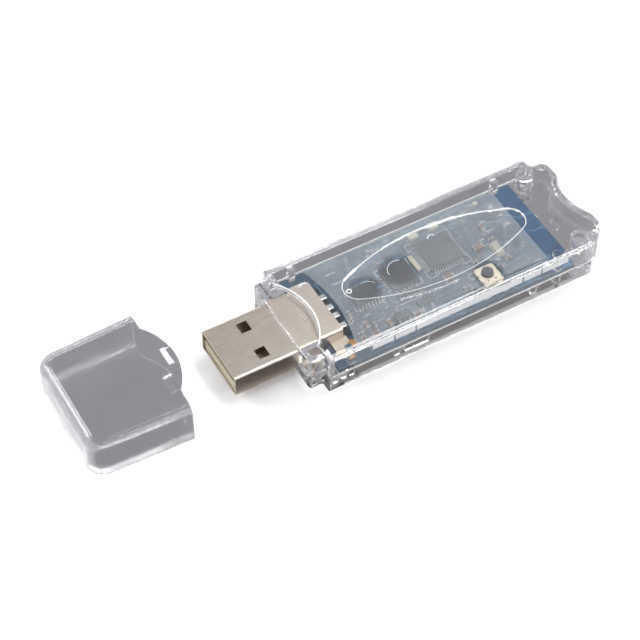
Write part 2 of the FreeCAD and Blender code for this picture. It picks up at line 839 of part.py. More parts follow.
def build_controller():
    middle = ("controller_long", "controller_wide")
    side = ("controller_side", "controller_side")
    keep(chip_body("controller_body", middle, side, "1.0"), "microcontroller")
    places = even_places(12, "close_pitch", "close_lead")
    pins = []
    for axis in "xy":
        pins += leads(f"controller_lead_{axis}", axis, middle, "controller_side / 2", "0.55", places)
    keep(group("controller_lead_set", pins), "microcontroller_leads")


def build_regulator():
    middle = ("regulator_long", "regulator_wide")
    keep(chip_body("regulator_body", middle, ("sot_long", "1.6"), "1.0"), "voltage_regulator")
    keep(group("regulator_lead_set", leads("regulator_lead", "y", middle, "0.8", "0.45", [
        ("-sot_pitch", "sot_lead", "-+"),
        ("0", "sot_lead", "-"),
        ("sot_pitch", "sot_lead", "-+"),
    ])), "regulator_leads")


def build_diode():
    middle = ("diode_long", "diode_wide")
    keep(chip_body("diode_body", middle, ("sot_long", "1.3"), "0.9"), "esd_diode")
    keep(group("diode_lead_set", leads("diode_lead", "y", middle, "0.65", "0.4", [
        ("-sot_pitch", "sot_lead", "-"),
        ("0", "sot_lead", "+"),
        ("sot_pitch", "sot_lead", "-"),
    ])), "diode_leads")


def chip_part(name, axis, middle, long, wide, height):
    """A two-ended chip part: its body, and the metal caps on its two ends."""
    centre, beside = middle if axis == "x" else middle[::-1]
    across = (f"{beside} - {wide} / 2", f"{beside} + {wide} / 2")
    top = f"board_top + {height}"
    inner = f"({long} / 2 - cap_metal)"
    body = turned(f"{name}_body", axis, (f"{centre} - {inner}", f"{centre} + {inner}"), across,
                  ("board_top + hair * 2", top))
    ends = [
        turned(f"{name}_end", axis, (f"{centre} - {long} / 2", f"{centre} - {inner}"), across,
               ("board_top + hair", f"{top} + hair")),
        turned(f"{name}_end", axis, (f"{centre} + {inner}", f"{centre} + {long} / 2"), across,
               ("board_top + hair", f"{top} + hair")),
    ]
    return body, ends


# Two-ended chip parts: node, axis they lie along, middle, length, width, height.
CHIP_PARTS = [
    ("chip_resistors", "y", ("-8.45", "-3.1"), "1.8", "0.85", "0.5"),
    ("chip_resistors", "y", ("-7.1", "-3.1"), "1.8", "0.85", "0.5"),
    ("chip_resistors", "y", ("-5.8", "-3.1"), "1.8", "0.85", "0.5"),
    ("chip_resistors", "y", ("-4.5", "-3.1"), "1.8", "0.85", "0.5"),
    ("small_capacitors", "y", ("-17.9", "-1.9"), "1.0", "0.5", "0.5"),
    ("small_capacitors", "y", ("-18.2", "-3.5"), "1.0", "0.5", "0.5"),
    ("small_capacitors", "x", ("-18.4", "-6.6"), "1.0", "0.5", "0.5"),
    ("small_capacitors", "x", ("-18.4", "-7.7"), "1.0", "0.5", "0.5"),
    ("small_capacitors", "y", ("-16.7", "-5.7"), "1.5", "0.8", "0.7"),
    ("small_capacitors", "y", ("-15.3", "-6.2"), "1.0", "0.5", "0.5"),
    ("small_capacitors", "x", ("-16.2", "-7.9"), "1.5", "0.8", "0.7"),
    ("small_capacitors", "y", ("-12.9", "-7.2"), "1.5", "0.8", "0.7"),
    ("small_capacitors", "x", ("-7.8", "-7.5"), "1.5", "0.8", "0.7"),
    ("small_capacitors", "x", ("-0.9", "-4.9"), "1.0", "0.5", "0.5"),
    ("small_capacitors", "y", ("2.2", "-7.1"), "1.0", "0.5", "0.5"),
    ("small_capacitors", "y", ("3.2", "-7.2"), "1.0", "0.5", "0.5"),
    ("small_capacitors", "x", ("7.0", "-2.7"), "1.0", "0.5", "0.5"),
    ("small_capacitors", "y", ("12.4", "3.6"), "1.5", "0.8", "0.7"),
    ("small_capacitors", "x", ("12.3", "0.6"), "1.0", "0.5", "0.5"),
    ("small_capacitors", "x", ("12.5", "-4.8"), "1.0", "0.5", "0.5"),
    ("large_capacitors", "x", ("9.2", "-0.2"), "1.9", "1.25", "0.9"),
    ("large_capacitors", "x", ("1.1", "-3.6"), "2.0", "1.25", "0.9"),
    ("status_leds", "x", ("0.6", "7.7"), "2.0", "1.3", "0.8"),
    ("status_leds", "x", ("4.85", "8.0"), "2.0", "1.3", "0.8"),
    ("resistor_array", "y", ("-2.2", "2.3"), "3.8", "0.9", "0.5"),
]


def build_chip_parts():
    bodies = {}
    ends = []
    for node, axis, middle, long, wide, height in CHIP_PARTS:
        body, metal = chip_part(node, axis, middle, long, wide, height)
        bodies.setdefault(node, []).append(body)
        ends += metal
    for node, pieces in bodies.items():
        keep(group(f"{node}_set", pieces) if len(pieces) > 1 else pieces[0], node)
    keep(group("chip_end_set", ends), "chip_terminals")


def build_crystal():
    middle = ("crystal_long", "crystal_wide")
    tray = ("board_top + hair", "board_top + 0.4")
    can = ("board_top + 0.4", "board_top + 0.8")
    keep(block("crystal_tray", middle, ("1.6", "3.2"), tray), "crystal_base")
    keep(block("crystal_can", middle, ("1.3", "2.9"), can), "crystal_lid")


# ---------------------------------------------------------------- push switch

def build_switch():
    at = ("switch_long", "switch_wide")
    long = ("switch_long - switch_half", "switch_long + switch_half")
    wide = ("switch_near", "switch_far")
    blank = box("switch_blank", long, wide, ("board_top + hair", "base_top"))
    cavity = cylinder("switch_cavity", "cavity_radius", at, ("cavity_floor", "base_top + 1"))
    keep(cut("switch_base_cut", blank, cavity), "switch_base")

    plate = box("cover_blank", long, wide, ("base_top", "cover_top"))
    clipped = doc.addObject("Part::Chamfer", "cover_plate")
    clipped.Base = plate
    doc.recompute()
    clip = number("cover_clip")
    edges = enumerate(plate.Shape.Edges, start=1)
    clipped.Edges = [(index, clip, clip) for index, edge in edges if upright(edge)]
    through = ("base_top - 1", "cover_top + 1")
    holes = [cylinder("cover_bore", "cover_hole", at, through)]
    for way in "-+":
        holes.append(cylinder("cover_rivet_hole", "rivet_radius",
                              (f"switch_long {way} rivet_aside", "rivet_wide"), through))
        for place in ("rivet_wide", "switch_wide"):
            holes.append(block("cover_notch", (f"switch_long {way} switch_half", place),
                               ("notch_deep * 2", "notch_deep * 2"), through))
    keep(cut("cover_cut", clipped, fuse("cover_holes", holes)), "switch_cover")

    dome = doc.addObject("Part::Sphere", "dome_ball")
    dome.setExpression("Radius", cells("dome_ball"))
    dome.setExpression("Placement.Base.x", cells("switch_long"))
    dome.setExpression("Placement.Base.y", cells("switch_wide"))
    dome.setExpression("Placement.Base.z", cells("dome_top - dome_ball"))
    core = doc.addObject("Part::Sphere", "dome_core")
    core.setExpression("Radius", cells("dome_ball - dome_sheet"))
    core.setExpression("Placement.Base.x", cells("switch_long"))
    core.setExpression("Placement.Base.y", cells("switch_wide"))
    core.setExpression("Placement.Base.z", cells("dome_top - dome_ball"))
    leaf = cut("dome_leaf", dome, core)
    reach = cylinder("dome_rim", "cavity_radius - 0.05", at, ("cavity_floor + hair", "dome_top + 1"))
    seat = doc.addObject("Part::Common", "dome_cut")
    seat.Base = leaf
    seat.Tool = reach
    keep(seat, "switch_dome")

    stem = cylinder("button_stem", "button_radius", at, ("flange_bottom", "button_top"))
    flange = cylinder("button_flange", "flange_radius", at, ("flange_bottom", "base_top - 0.1"))
    keep(fuse("button_whole", [stem, flange]), "switch_button")

    feet = []
    for way_x in "-+":
        for way_y in "-+":
            low = f"(switch_near + switch_far) / 2 {way_y} foot_apart"
            near = f"switch_long {way_x} (switch_half + hair)"
            far = f"switch_long {way_x} (switch_half + foot_reach)"
            feet.append(box("switch_foot", (near, far) if way_x == "+" else (far, near),
                            (f"{low} - 0.3", f"{low} + 0.3"),
                            ("board_top + hair", "board_top + hair + lead_thick")))
    keep(group("switch_foot_set", feet), "switch_terminals")


build_upper_shell()
build_lower_shell()
build_cap()
build_film()
build_plug()
build_board()
build_interface_chip()
build_memory_chip()
build_controller()
build_regulator()
build_diode()
build_chip_parts()
build_crystal()
build_switch()
doc.recompute()

for item in doc.Objects:
    if {"Invalid", "Error"} & set(item.State):
        raise RuntimeError(f"{item.Label} does not compute: {item.State}")
for item in sub_parts:
    if item.Shape.isNull() or not item.Shape.isValid():
        raise RuntimeError(f"{item.Label} is not a sound shape")

os.makedirs("parts", exist_ok=True)
for item in sub_parts:
    place = f"parts/{item.Label}.step"
    item.Shape.exportStep(place)
    written = Part.Shape()
    written.read(place)
    if len(written.Solids) != len(item.Shape.Solids):
        raise RuntimeError(f"{place} does not hold the solids it was given")
    print(item.Label, len(item.Shape.Solids), round(item.Shape.Volume, 3))
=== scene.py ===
import math
import random

import bmesh
import bpy
from mathutils import Matrix, Vector


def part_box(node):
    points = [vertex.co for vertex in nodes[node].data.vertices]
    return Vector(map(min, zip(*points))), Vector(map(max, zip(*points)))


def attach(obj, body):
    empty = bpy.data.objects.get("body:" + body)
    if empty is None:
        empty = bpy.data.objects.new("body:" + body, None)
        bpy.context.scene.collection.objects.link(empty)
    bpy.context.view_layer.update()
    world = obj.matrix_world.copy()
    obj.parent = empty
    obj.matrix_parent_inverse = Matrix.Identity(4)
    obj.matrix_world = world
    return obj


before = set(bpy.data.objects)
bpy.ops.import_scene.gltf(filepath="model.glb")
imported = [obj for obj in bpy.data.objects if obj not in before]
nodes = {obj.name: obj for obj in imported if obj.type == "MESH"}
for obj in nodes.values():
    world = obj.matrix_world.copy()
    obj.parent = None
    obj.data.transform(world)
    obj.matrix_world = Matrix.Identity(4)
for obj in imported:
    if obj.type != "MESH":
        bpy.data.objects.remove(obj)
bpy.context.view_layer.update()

scene = bpy.context.scene
dice = random.Random(12)
MM = 0.001
# Places in a noise where a finish leaves its low colour and reaches its high one.
RAMP_LOW, RAMP_HIGH = 0.3, 0.7
# Least and most roughness of a finish, as shares of its stated one.
LEAST_ROUGH, MOST_ROUGH = 0.85, 1.15
RELIEF = 0.02 * MM
STYRENE_IOR, POLYESTER_IOR, USUAL_IOR = 1.49, 1.5, 1.5


# ---------------------------------------------------------------- materials

def shade(code):
    """sRGB hex, such as "#C0C4C8", as the linear colour that a shader takes."""
    parts = [int(code[place:place + 2], 16) / 255 for place in (1, 3, 5)]
    return [part / 12.92 if part <= 0.04045 else ((part + 0.055) / 1.055) ** 2.4 for part in parts] + [1.0]


def add(tree, kind, inputs=None, **settings):
    """Adds one node with its settings. An input is a value, or (node, output) to link from."""
    node = tree.nodes.new(kind)
    for key, value in settings.items():
        setattr(node, key, value)
    for key, value in (inputs or {}).items():
        if isinstance(value, tuple) and len(value) == 2 and hasattr(value[0], "outputs"):
            tree.links.new(value[0].outputs[value[1]], node.inputs[key])
        else:
            node.inputs[key].default_value = value
    return node


def new_material(name):
    """An empty material, and the tree that its nodes go in."""
    finish = bpy.data.materials.new(name)
    finish.use_nodes = True
    finish.node_tree.nodes.clear()
    return finish, finish.node_tree


def ramp(tree, factor, stops):
    """A colour ramp whose stops are (place, hex)."""
    node = add(tree, "ShaderNodeValToRGB", {"Fac": factor})
    band = node.color_ramp
    while len(band.elements) < len(stops):
        band.elements.new(0.5)
    for element, (place, code) in zip(band.elements, stops):
        element.position = place
        element.color = shade(code)
    return node


def grained(name, low, high, grain_mm, roughness, metallic=0.0, bump=0.0, stretch=(1, 1, 1)):
    """An opaque finish whose colour and height vary with a fine noise of a real size."""
    finish, tree = new_material(name)
    place = add(tree, "ShaderNodeTexCoord")
    turn = add(tree, "ShaderNodeMapping", {"Vector": (place, "Object"), "Scale": stretch})
    noise = add(tree, "ShaderNodeTexNoise", {
        "Vector": (turn, "Vector"), "Scale": 1 / (grain_mm * MM), "Detail": 3.0, "Roughness": 0.6})
    colour = ramp(tree, (noise, "Fac"), [(RAMP_LOW, low), (RAMP_HIGH, high)])
    rough = add(tree, "ShaderNodeMapRange", {
        "Value": (noise, "Fac"), "To Min": roughness * LEAST_ROUGH, "To Max": roughness * MOST_ROUGH})
    settings = {
        "Base Color": (colour, "Color"), "Roughness": (rough, "Result"), "Metallic": metallic,
        "IOR": USUAL_IOR}
    if bump:
        relief = add(tree, "ShaderNodeBump", {
            "Height": (noise, "Fac"), "Strength": bump, "Distance": RELIEF})
        settings["Normal"] = (relief, "Normal")
    shader = add(tree, "ShaderNodeBsdfPrincipled", settings)
    add(tree, "ShaderNodeOutputMaterial", {"Surface": (shader, "BSDF")})
    return finish


def clear_plastic(name, tint, cloud, roughness, shadow):
    """Clear moulded plastic: light goes through it, and its shadow is only a faint grey."""
    finish, tree = new_material(name)
    place = add(tree, "ShaderNodeTexCoord")
    noise = add(tree, "ShaderNodeTexNoise", {
        "Vector": (place, "Object"), "Scale": 1 / (6 * MM), "Detail": 2.0})
    colour = ramp(tree, (noise, "Fac"), [(RAMP_LOW, tint), (RAMP_HIGH, cloud)])
    shader = add(tree, "ShaderNodeBsdfPrincipled", {
        "Base Color": (colour, "Color"), "Roughness": roughness, "IOR": STYRENE_IOR,
        "Transmission Weight": 1.0})
    ray = add(tree, "ShaderNodeLightPath")
    veil = add(tree, "ShaderNodeBsdfTransparent", {"Color": shade(shadow)})
    both = add(tree, "ShaderNodeMixShader", {
        0: (ray, "Is Shadow Ray"), 1: (shader, "BSDF"), 2: (veil, "BSDF")})
    add(tree, "ShaderNodeOutputMaterial", {"Surface": (both, "Shader")})
    return finish


def satin_film(name, tint, cloud, haze, patches):
    """Satin film: hazy, apart from round patches where it clings to what it lies on and goes clear."""
    finish, tree = new_material(name)
    place = add(tree, "ShaderNodeTexCoord")
    noise = add(tree, "ShaderNodeTexNoise", {
        "Vector": (place, "Object"), "Scale": 1 / (5 * MM), "Detail": 3.0})
    colour = ramp(tree, (noise, "Fac"), [(RAMP_LOW, tint), (RAMP_HIGH, cloud)])
    thin = haze
    for long, wide, radius, least in patches:
        size = 1 / (radius * MM)
        turn = add(tree, "ShaderNodeMapping", {
            "Vector": (place, "Object"), "Location": (-long / radius, -wide / radius, 0),
            "Scale": (size, size, 0)})
        away = add(tree, "ShaderNodeVectorMath", {0: (turn, "Vector")}, operation="LENGTH")
        edge = add(tree, "ShaderNodeMapRange", {
            "Value": (away, "Value"), "From Min": 0.78, "From Max": 1.12, "To Min": least, "To Max": haze})
        thin = (add(tree, "ShaderNodeMath", {0: thin, 1: (edge, "Result")}, operation="MINIMUM"), 0)
    shader = add(tree, "ShaderNodeBsdfPrincipled", {
        "Base Color": (colour, "Color"), "Roughness": 0.55, "IOR": POLYESTER_IOR, "Alpha": thin})
    add(tree, "ShaderNodeOutputMaterial", {"Surface": (shader, "BSDF")})
    return finish


# Polished clear styrene: neutral, bright lines where an edge traps light.
CLEAR = clear_plastic("clear_styrene", "#F5F5F5", "#F9F9F9", 0.02, "#F0F0F0")
# The same styrene on the cap, rubbed by handling, so its lines are softer.
SCUFFED = clear_plastic("rubbed_clear_styrene", "#F3F3F4", "#F8F8F8", 0.085, "#F0F0F0")
# Satin polyester film: pale haze over the board, clear where it clings to two chips and the switch.
# Each clear patch has its middle along and across the case, its radius, and the haze left in it.
FILM = satin_film("satin_polyester_film", "#8C9196", "#A0A5AA", 0.27, [
    (-13.4, 0.4, 3.0, 0.08), (-6.1, 1.25, 3.7, 0.08), (6.9, -7.0, 2.8, 0.05)])
# Painted highlight: white matt wires and bands laid on edges, creases, the parting line and the inner face
# of the near wall, to draw where they shine.
EDGE_HIGHLIGHT = grained("painted_edge_highlight", "#E6E7E9", "#F7F8F9", 0.4, 0.35)
# Nickel plated steel: warm light grey, soft gloss, faint rolling lines along the plug.
NICKEL = grained("nickel_plated_steel", "#B9B0A6", "#C6BEB4", 0.35, 0.33, 1.0, 0.12, (0.15, 1, 1))
# Gold flashed contacts.
GOLD = grained("gold_flash", "#CFC7B2", "#DAD3C2", 0.4, 0.3, 1.0)
# Liquid crystal polymer: cream, matt.
CREAM = grained("cream_polymer", "#B3A890", "#C2B8A2", 0.5, 0.5, bump=0.1)
# Moulded epoxy of chips: near black, fine sparkle of filler.
EPOXY = grained("black_epoxy", "#101113", "#1A1C1E", 0.18, 0.5, bump=0.2)
# Tinned copper: bright and slightly lumpy.
TIN = grained("tinned_copper", "#C6C6C4", "#DEDEDC", 0.3, 0.3, 1.0, 0.2)
# Barium titanate capacitor bodies: fired brown.
BROWN = grained("brown_ceramic", "#7B5233", "#94683F", 0.25, 0.45)
# Lamp resin: pale and waxy.
RESIN = grained("lamp_resin", "#D9D2B8", "#E9E3CC", 0.5, 0.3)
# Crystal tray: cream alumina.
ALUMINA = grained("cream_alumina", "#C9C0A6", "#DAD2BC", 0.3, 0.5)
# Pressed tin lids and the switch cover: warm pale metal.
PRESSED = grained("pressed_tinplate", "#CFC8B4", "#DED8C8", 0.4, 0.38, 0.8)
# Switch moulding: dark grey nylon.
NYLON = grained("dark_nylon", "#34363B", "#44464C", 0.3, 0.5, bump=0.2)
# Solder resist on bare laminate: deep slate blue, glossy.
BOARD = grained("blue_solder_resist", "#26384A", "#31465A", 2.2, 0.32)
# The same resist where copper runs under it: lighter and more green.
TRACK = grained("resist_over_copper", "#46708A", "#5A8599", 0.9, 0.3)
# Resist over the solid copper of the tail: deep blue.
TAIL = grained("blue_resist_over_copper", "#203A58", "#2B4C6E", 1.2, 0.32)
# Printed marks: white ink, matt and a little broken.
INK = grained("white_marking_ink", "#B9BFC2", "#E2E5E6", 0.25, 0.6)
# Painted shade: black that stands for the dark inside of drilled holes and of the contact slot, seen from
# above.
HOLE_SHADE = grained("painted_hole_shade", "#0E1114", "#16191D", 0.2, 0.6)
# Flux left round a hand soldered tab: amber and glossy.
FLUX = grained("amber_flux", "#8A6636", "#B98E55", 0.5, 0.2)
# Bright solder: nearly white, rounded by its own melting.
SOLDER = grained("bright_solder", "#DADBDB", "#F0F0EE", 0.4, 0.25, 0.7, 0.2)

FINISHES = {
    CLEAR: ["upper_shell", "lower_shell"],
    SCUFFED: ["cap"],
    FILM: ["cover_film"],
    NICKEL: ["plug_shell"],
    GOLD: ["plug_contacts"],
    CREAM: ["plug_tongue"],
    BOARD: ["circuit_board"],
    EPOXY: ["usb_interface_chip", "memory_chip", "microcontroller", "voltage_regulator",
            "esd_diode", "chip_resistors"],
    TIN: ["usb_interface_leads", "memory_pads", "microcontroller_leads", "regulator_leads",
          "diode_leads", "chip_terminals", "switch_terminals"],
    BROWN: ["small_capacitors", "large_capacitors"],
    RESIN: ["status_leds"],
    ALUMINA: ["crystal_base", "resistor_array"],
    PRESSED: ["crystal_lid", "switch_cover", "switch_dome"],
    NYLON: ["switch_base", "switch_button"],
}
for finish, names in FINISHES.items():
    for name in names:
        mesh = nodes[name].data
        mesh.materials.clear()
        mesh.materials.append(finish)

# ---------------------------------------------------------------- print and solder on the board

def node_box(name):
    """Lowest and highest corners of a CAD node in millimetres."""
    return [[value / MM for value in corner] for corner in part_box(name)]


def linked(shape, name, finish):
    """Turns a bmesh into an object of one material in the scene."""
    mesh = bpy.data.meshes.new(name)
    shape.to_mesh(mesh)
    shape.free()
    mesh.materials.append(finish)
    item = bpy.data.objects.new(name, mesh)
    scene.collection.objects.link(item)
    return item


def sort_faces(shape):
    """Sorts the faces by their corners, as spins and balls list theirs in another order each run."""
    shape.verts.index_update()
    order = sorted(shape.faces, key=lambda face: sorted(vert.index for vert in face.verts))
    rank = {face: count for count, face in enumerate(order)}
    shape.faces.sort(key=rank.get)


def finished(shape, name, finish, body="case"):
    """Turns a bmesh drawn in millimetres into a piece that rides on a body."""
    bmesh.ops.scale(shape, vec=(MM, MM, MM), verts=shape.verts)
    sort_faces(shape)
    bmesh.ops.recalc_face_normals(shape, faces=shape.faces)
    item = linked(shape, name, finish)
    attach(item, body)


def touching(verts, kind):
    """The link_edges or link_faces of some vertices, each of them once."""
    return list(dict.fromkeys(part for vert in verts for part in getattr(vert, kind)))


def bar(shape, start, end, wide, low, high):
    """A straight bar with square ends between two points on the board."""
    start, end = Vector(start), Vector(end)
    run = end - start
    verts = bmesh.ops.create_cube(shape, size=1.0)["verts"]
    bmesh.ops.scale(shape, vec=(run.length + wide, wide, high - low), verts=verts)
    turn = Matrix.Rotation(math.atan2(run.y, run.x), 4, "Z")
    middle = (start + end) / 2
    place = Matrix.Translation((middle.x, middle.y, (low + high) / 2)) @ turn
    bmesh.ops.transform(shape, matrix=place, verts=verts)
    return verts


def disc(shape, centre, radius, low, high, segments):
    """A flat round plate between two heights."""
    verts = bmesh.ops.create_cone(shape, cap_ends=True, segments=segments, radius1=radius,
                                  radius2=radius, depth=high - low)["verts"]
    bmesh.ops.translate(shape, vec=(*centre, (low + high) / 2), verts=verts)


def lump(shape, centre, size, low):
    """A rounded blob of solder, half a ball stretched over its pad."""
    verts = bmesh.ops.create_uvsphere(shape, u_segments=16, v_segments=8, radius=0.5)["verts"]
    bmesh.ops.scale(shape, vec=size, verts=verts)
    bmesh.ops.translate(shape, vec=(*centre, low + size[2] * 0.3), verts=verts)
    ball = [*verts, *touching(verts, "link_edges"), *touching(verts, "link_faces")]
    cut = bmesh.ops.bisect_plane(shape, geom=ball, plane_co=(0, 0, low), plane_no=(0, 0, 1),
                                 clear_inner=True)
    rim = [part for part in cut["geom_cut"] if isinstance(part, bmesh.types.BMEdge)]
    rim.sort(key=lambda edge: sorted(vert.co[:] for vert in edge.verts))
    bmesh.ops.edgeloop_fill(shape, edges=rim)


BOARD_TOP = node_box("circuit_board")[1][2]
# Thickness of a print, and the tops of the marks, each a little above the one it lies on.
PRINT = 0.012
PATCH_TOP = BOARD_TOP + PRINT * 0.5
TRACK_TOP = BOARD_TOP + PRINT
RING_TOP = BOARD_TOP + PRINT * 1.2
HOLE_TOP = BOARD_TOP + PRINT * 1.4
MARK_TOP = BOARD_TOP + PRINT * 1.6
SOLDER_FOOT = BOARD_TOP + 0.02
TRACK_WIDE = 0.2
INK_WIDE = 0.16
RING_SIDES, HOLE_SIDES = 12, 8
# How far the copper runs go along the board, and to either side of its middle.
RUN_REAR, RUN_FRONT, RUN_SIDE = -19.5, 21.9, 9.9

# Copper runs: each goes along the board, steps aside at forty five degrees and goes on.
shape = bmesh.new()
hole_shades = bmesh.new()
rings = bmesh.new()
for lane in range(64):
    wide = dice.uniform(-9.6, 9.6)
    long = dice.uniform(-19, 17)
    reach = dice.uniform(1.5, 5.5)
    step = dice.choice((-1, 1)) * dice.uniform(0.4, 1.6)
    across = lane % 3 == 0
    points = [(0, 0), (reach, 0), (reach + abs(step), step), (reach * 1.7 + abs(step), step)]
    places = []
    for ahead, aside in points:
        spot = (long + aside, wide + ahead) if across else (long + ahead, wide + aside)
        places.append((min(max(spot[0], RUN_REAR), RUN_FRONT), min(max(spot[1], -RUN_SIDE), RUN_SIDE)))
    for start, end in zip(places, places[1:]):
        bar(shape, start, end, TRACK_WIDE, BOARD_TOP, TRACK_TOP)
    # Each run ends in a via: a copper ring round a black disc of painted shade for its hole.
    for spot in (places[0], places[-1]):
        disc(rings, spot, 0.34, BOARD_TOP, RING_TOP, RING_SIDES)
        disc(hole_shades, spot, 0.15, BOARD_TOP, HOLE_TOP, HOLE_SIDES)
# Stitching holes in a grid between the switch and the tail: copper rings round black discs of painted
# shade.
GRID_LONG, GRID_WIDE, LONG_PITCH, WIDE_PITCH = 13.6, -6.4, 0.9, 0.95
for row in range(3):
    for column in range(4):
        spot = (GRID_LONG + column * LONG_PITCH, GRID_WIDE + row * WIDE_PITCH)
        disc(rings, spot, 0.3, BOARD_TOP, RING_TOP, RING_SIDES)
        disc(hole_shades, spot, 0.14, BOARD_TOP, HOLE_TOP, HOLE_SIDES)
finished(shape, "copper_tracks", TRACK)

# Bare pads and filled holes too small to draw one by one, thickest round the small parts.
# Each field has how many, and how far it goes along and across.
PAD_FIELDS = (
    (70, (-19, -2), (-9.6, -2.4)),
    (60, (6, 17.2), (1.5, 9.6)),
    (34, (8.8, 17.2), (-9.4, -2)),
    (24, (-18, 0), (4.6, 9.6)),
)
shape = bmesh.new()
for count, long, wide in PAD_FIELDS:
    for _ in range(count):
        spot = (dice.uniform(*long), dice.uniform(*wide))
        reach = dice.uniform(0.05, 0.45)
        end = (spot[0] + reach, spot[1])
        bar(shape, spot, end, dice.uniform(0.22, 0.42), BOARD_TOP, MARK_TOP)
finished(shape, "bare_pads", SOLDER)
finished(rings, "via_rings", TRACK)
finished(hole_shades, "via_hole_shades", HOLE_SHADE)

# Ink corners round the chips, each this far off its part, and ink bars by the small parts.
CORNER_GAPS = {
    "usb_interface_chip": 0.35, "memory_chip": 0.55, "microcontroller": 1.0, "crystal_base": 0.4,
    "switch_base": 0.5}
ARM_SHARE = 0.22
INK_BARS = (
    ((12.9, 2.6), 1.1), ((12.9, 4.9), 1.0), ((-9.3, -4.4), 4.6), ((10.6, 1.4), 0.9),
    ((-16.9, 5.2), 2.2), ((-16.9, 7.6), 1.6), ((14.4, -1.2), 1.8))
shape = bmesh.new()
for name, gap in CORNER_GAPS.items():
    low, high = node_box(name)
    x0, x1, y0, y1 = low[0] - gap, high[0] + gap, low[1] - gap, high[1] + gap
    arm = min(x1 - x0, y1 - y0) * ARM_SHARE
    for x, inward in ((x0, 1), (x1, -1)):
        for y, up in ((y0, 1), (y1, -1)):
            bar(shape, (x, y), (x + inward * arm, y), INK_WIDE, BOARD_TOP, MARK_TOP)
            bar(shape, (x, y), (x, y + up * arm), INK_WIDE, BOARD_TOP, MARK_TOP)
for spot, reach in INK_BARS:
    bar(shape, spot, (spot[0] + reach, spot[1]), INK_WIDE * 1.3, BOARD_TOP, MARK_TOP)
finished(shape, "ink_marks", INK)

# Gilt test pad near the far edge of the tail.
shape = bmesh.new()
disc(shape, (14.7, 9.3), 0.5, BOARD_TOP, SOLDER_FOOT, 24)
finished(shape, "gilt_test_pad", GOLD)

# The solid copper of the tail, and a black strip of painted shade for the slot that the contact tails
# cross.
COPPER_LONG, COPPER_SIDE, COPPER_WIDE = 19.95, 8.0, 4.5
SLOT_LONG, SLOT_SIDE, SLOT_WIDE = -20.3, 5.2, 1.5
shape = bmesh.new()
bar(shape, (COPPER_LONG, -COPPER_SIDE), (COPPER_LONG, COPPER_SIDE), COPPER_WIDE, BOARD_TOP, PATCH_TOP)
finished(shape, "tail_copper", TAIL)
shape = bmesh.new()
bar(shape, (SLOT_LONG, -SLOT_SIDE), (SLOT_LONG, SLOT_SIDE), SLOT_WIDE, BOARD_TOP, PATCH_TOP)
finished(shape, "contact_slot_shade", HOLE_SHADE)

# Flat solder over the four contact tails, and solder and flux by the two tabs of the plug shell.
SOLDER_REAR, SOLDER_FRONT, SOLDER_WIDE, SOLDER_TOP = -20.7, -19.9, 1.1, BOARD_TOP + 0.42
shape = bmesh.new()
for wide in (-3.5, -1.0, 1.0, 3.5):
    verts = bar(shape, (SOLDER_REAR, wide), (SOLDER_FRONT, wide), SOLDER_WIDE, SOLDER_FOOT, SOLDER_TOP)
    edges = touching(verts, "link_edges")
    bmesh.ops.bevel(shape, geom=edges, offset=0.14, segments=2, affect="EDGES", profile=0.5,
                    material=-1)
lump(shape, (-21.6, 7.1), (2.4, 1.7, 1.0), SOLDER_FOOT)
finished(shape, "tail_solder", SOLDER)
shape = bmesh.new()
lump(shape, (-20.6, -7.6), (1.9, 1.5, 0.6), SOLDER_FOOT)
lump(shape, (-22.3, -8.3), (1.6, 1.0, 0.5), SOLDER_FOOT)
finished(shape, "flux_residue", FLUX)


# ---------------------------------------------------------------- painted highlights on the edges of the case and film

def wire(shape, centre, radius, start, end, thick, height, steps):
    """A thin round wire bent to an arc. Its two ends are closed, and a full turn joins on itself."""
    full_turn = math.isclose(end - start, 2 * math.pi)
    spot = Vector((centre[0], centre[1], height))
    ring = bmesh.ops.create_circle(shape, segments=8, radius=thick / 2)["verts"]
    turn = Matrix.Translation(spot) @ Matrix.Rotation(start, 4, "Z")
    place = turn @ Matrix.Translation((radius, 0, 0)) @ Matrix.Rotation(math.pi / 2, 4, "X")
    bmesh.ops.transform(shape, matrix=place, verts=ring)
    edges = touching(ring, "link_edges")
    spun = bmesh.ops.spin(shape, geom=edges, cent=spot, axis=(0, 0, 1), angle=end - start, steps=steps,
                          use_merge=full_turn)
    if not full_turn:
        last = [item for item in spun["geom_last"] if isinstance(item, bmesh.types.BMEdge)]
        for loop in (edges, last):
            bmesh.ops.contextual_create(shape, geom=loop)


# Painted highlights along creases in the film: middle, radius, the two angles between which it runs,
# thickness and steps.
FILM_TOP = node_box("cover_film")[1][2]
CREASES = (
    ((-6.0, 1.2), 2.15, 60, 185, 0.1, 24),
    ((2.7, 4.7), 0.75, 20, 175, 0.14, 16),
    ((-13.2, -0.6), 2.4, 35, 95, 0.07, 14),
)
shape = bmesh.new()
for centre, radius, start, end, thick, steps in CREASES:
    wire(shape, centre, radius, math.radians(start), math.radians(end), thick, FILM_TOP, steps)
finished(shape, "painted_film_crease_highlights", EDGE_HIGHLIGHT)

